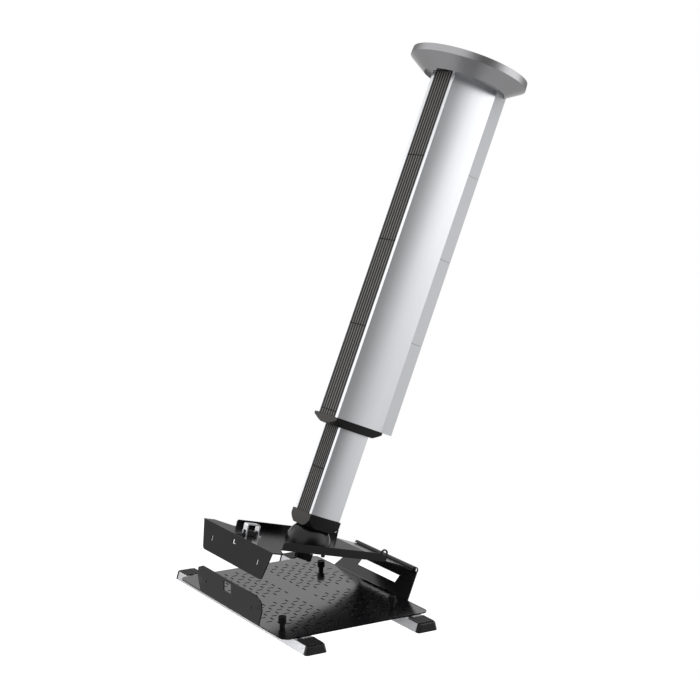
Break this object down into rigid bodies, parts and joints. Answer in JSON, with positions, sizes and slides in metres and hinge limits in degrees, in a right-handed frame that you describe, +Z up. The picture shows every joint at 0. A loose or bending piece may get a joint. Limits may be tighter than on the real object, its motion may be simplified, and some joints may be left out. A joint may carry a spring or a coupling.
{
  "type": "projector ceiling mount",
  "caption": "Telescopic ceiling column with cover, ball joint and a hinged, basket-perforated projector tray carried on a folded bracket with rails.",
  "frame": {"origin": "centre of the ceiling plate's top face", "axes": "+Z up along the column, +X towards the tray's hooked side, +Y along the rails"},
  "size_m": [0.2985, 0.438, 0.9725],
  "materials": {
    "plate_steel": "powder-coated steel",
    "screw_steel": "zinc-plated steel",
    "column_aluminium": "satin anodised aluminium",
    "black_screw": "black oxide steel",
    "black_moulding": "fine-grained black moulding",
    "glide_plastic": "natural acetal",
    "silver_cover": "silver metallic paint",
    "gloss_black": "gloss black moulding",
    "black_sheet": "gloss black paint on steel sheet",
    "bright_latch": "polished plating",
    "white_rail": "fine satin anodised aluminium",
    "ribbed_black": "ribbed black moulding",
    "duct_grey": "light grey moulding",
    "black_knob": "knurled black moulding"
  },
  "bodies": {
    "ceiling_column": {"ceiling_plate": "plate_steel", "plate_screws": "screw_steel", "outer_column": "column_aluminium", "height_lock_screws": "black_screw", "front_strip_1": "ribbed_black", "front_strip_2": "ribbed_black", "front_strip_3": "ribbed_black", "front_strip_4": "ribbed_black", "cable_duct_1": "duct_grey", "cable_duct_2": "duct_grey", "cable_duct_3": "duct_grey", "cable_duct_4": "duct_grey", "collar": "black_moulding", "lower_guide": "glide_plastic"},
    "ceiling_cover": {"ceiling_cover": "silver_cover", "cover_grub_screw": "black_screw"},
    "inner_column": {"inner_column": "column_aluminium", "upper_guide": "glide_plastic", "inner_strip_1": "ribbed_black", "inner_strip_2": "ribbed_black", "inner_strip_3": "ribbed_black", "end_cap": "black_moulding"},
    "ball_stud": {"clamp_bolt": "screw_steel", "clamp_washer": "screw_steel", "clamp_nut": "black_moulding"},
    "ball_liner": {"ball_liner": "glide_plastic"},
    "upper_bracket": {"ball_dome": "gloss_black", "dome_screws": "black_screw", "dome_lock_screw": "black_screw", "upper_bracket": "black_sheet", "latch_housing": "bright_latch"},
    "latch": {"latch_slider": "bright_latch"},
    "tray": {"perforated_tray": "black_sheet", "tee_nuts": "screw_steel"},
    "rail_left": {"rail_left": "white_rail", "rail_caps_left": "black_moulding"},
    "rail_right": {"rail_right": "white_rail", "rail_caps_right": "black_moulding"},
    "thumb_screw_1": {"thumb_screw_1": "black_knob"},
    "thumb_screw_2": {"thumb_screw_2": "black_knob"},
    "thumb_screw_3": {"thumb_screw_3": "black_knob"},
    "thumb_screw_4": {"thumb_screw_4": "black_knob"}
  },
  "joints": [
    {"name": "cover_slide", "type": "slide", "parent": "ceiling_column", "child": "ceiling_cover", "axis": [0, 0, -1], "range_m": [0, 0.12]},
    {"name": "telescope_slide", "type": "slide", "parent": "ceiling_column", "child": "inner_column", "axis": [0, 0, -1], "range_m": [-0.135, 0.14]},
    {"name": "swivel", "type": "hinge", "parent": "inner_column", "child": "ball_stud", "pos_m": [0, 0, -0.831], "axis": [0, 0, 1], "continuous": true},
    {"name": "ball_pitch", "type": "hinge", "parent": "ball_stud", "child": "ball_liner", "pos_m": [0, 0, -0.831], "axis": [1, 0, 0], "range_deg": [-12, 12]},
    {"name": "ball_roll", "type": "hinge", "parent": "ball_liner", "child": "upper_bracket", "pos_m": [0, 0, -0.831], "axis": [0, 1, 0], "range_deg": [-4.3, 19.7]},
    {"name": "latch_slide", "type": "slide", "parent": "upper_bracket", "child": "latch", "axis": [-0.991, 0, -0.134], "range_m": [0, 0.006]},
    {"name": "tray_hinge", "type": "hinge", "parent": "upper_bracket", "child": "tray", "pos_m": [0.15926, 0, -0.81774], "axis": [0, 1, 0], "range_deg": [0, 13.6]},
    {"name": "rail_left_slide", "type": "slide", "parent": "tray", "child": "rail_left", "axis": [0, 1, 0], "range_m": [-0.008, 0.008]},
    {"name": "rail_right_slide", "type": "slide", "parent": "tray", "child": "rail_right", "axis": [0, 1, 0], "range_m": [-0.008, 0.008]},
    {"name": "thumb_screw_1_turn", "type": "hinge", "parent": "tray", "child": "thumb_screw_1", "pos_m": [-0.07946, 0.094, -0.95342], "axis": [-0.3633, 0, 0.9317], "continuous": true},
    {"name": "thumb_screw_2_turn", "type": "hinge", "parent": "tray", "child": "thumb_screw_2", "pos_m": [-0.07946, -0.125, -0.95342], "axis": [-0.3633, 0, 0.9317], "continuous": true},
    {"name": "thumb_screw_3_turn", "type": "hinge", "parent": "tray", "child": "thumb_screw_3", "pos_m": [0.10967, 0.094, -0.87969], "axis": [-0.3633, 0, 0.9317], "continuous": true},
    {"name": "thumb_screw_4_turn", "type": "hinge", "parent": "tray", "child": "thumb_screw_4", "pos_m": [0.10967, -0.125, -0.87969], "axis": [-0.3633, 0, 0.9317], "continuous": true}
  ]
}
